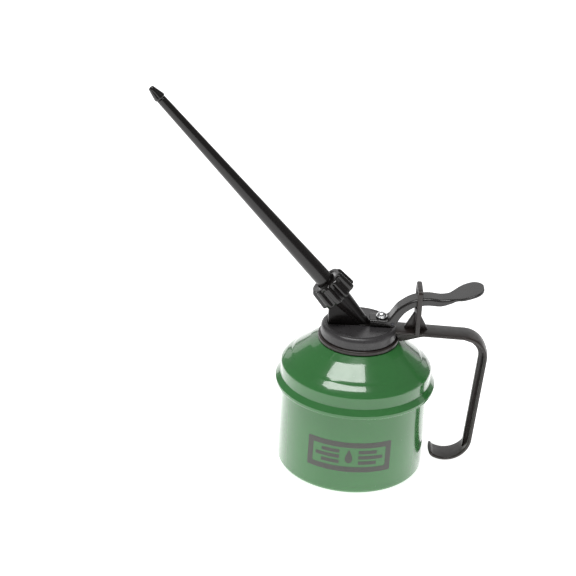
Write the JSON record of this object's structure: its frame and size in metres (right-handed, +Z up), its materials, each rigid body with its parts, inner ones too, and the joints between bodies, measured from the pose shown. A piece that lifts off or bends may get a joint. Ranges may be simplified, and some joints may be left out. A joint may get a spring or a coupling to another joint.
{
  "type": "handy oiler can",
  "caption": "Pump oiler can with a round body, domed shoulder, screw-off pump head, thumb lever, hooked handle and long slanting spout.",
  "frame": {"origin": "centre of the can's flat base", "axes": "+Z up, +X towards the handle, the spout leans towards -X, +Y to the left of someone looking from the spout to the handle"},
  "size_m": [0.2023, 0.0938, 0.2313],
  "materials": {
    "can_paint": "glossy green stove enamel",
    "head_black": "satin black moulding",
    "handle_black": "satin brown-black moulding",
    "spout_black": "semi-matt black tube",
    "chrome": "polished plating",
    "steel": "bright drawn steel",
    "brass": "turned",
    "rubber": "matt"
  },
  "bodies": {
    "can": {"can_body": "can_paint", "can_shoulder": "can_paint", "neck_ferrule": "steel"},
    "gasket": {"neck_gasket": "rubber"},
    "head": {"pump_head": "head_black", "handle": "handle_black", "lever_pin": "steel", "gland_nut": "brass", "gland_packing": "rubber", "pump_barrel": "brass", "foot_valve": "brass", "suction_tube": "brass", "strainer": "brass", "return_spring": "steel", "spout_washer": "rubber", "spout": "spout_black", "nozzle_tip": "spout_black"},
    "lever": {"lever": "handle_black"},
    "plunger": {"plunger_cap": "chrome", "plunger_rod": "steel", "piston": "brass", "piston_cup": "rubber"},
    "nut": {"collar_nut": "spout_black"},
    "inlet_valve": {"inlet_ball": "steel"},
    "outlet_valve": {"outlet_ball": "steel"}
  },
  "joints": [
    {"name": "head_lift", "type": "slide", "parent": "can", "child": "gasket", "axis": [0, 0, 1], "range_m": [0, 0.037]},
    {"name": "head_turn", "type": "hinge", "parent": "gasket", "child": "head", "pos_m": [0, 0, 0.0887], "axis": [0, 0, 1], "continuous": true},
    {"name": "lever_press", "type": "hinge", "parent": "head", "child": "lever", "pos_m": [0.019, 0, 0.0933], "axis": [0, 1, 0], "range_deg": [0, 18], "stiffness_Nm_per_rad": 1, "springref_deg": -20.05},
    {"name": "plunger_slide", "type": "slide", "parent": "head", "child": "plunger", "axis": [0, 0, 1], "range_m": [0, 0.0032], "deforming": ["return_spring"]},
    {"name": "nut_turn", "type": "hinge", "parent": "head", "child": "nut", "pos_m": [0.0025, 0, 0.091], "axis": [-0.6746, 0, 0.7382], "continuous": true},
    {"name": "inlet_lift", "type": "slide", "parent": "head", "child": "inlet_valve", "axis": [0, 0, 1], "range_m": [0, 0.0009]},
    {"name": "outlet_lift", "type": "slide", "parent": "head", "child": "outlet_valve", "axis": [-0.6746, 0, 0.7382], "range_m": [0, 0.0018]}
  ],
  "couplings": [
    {"joint": "plunger_slide", "follows": "lever_press", "m_per_rad": 0.0097}
  ]
}
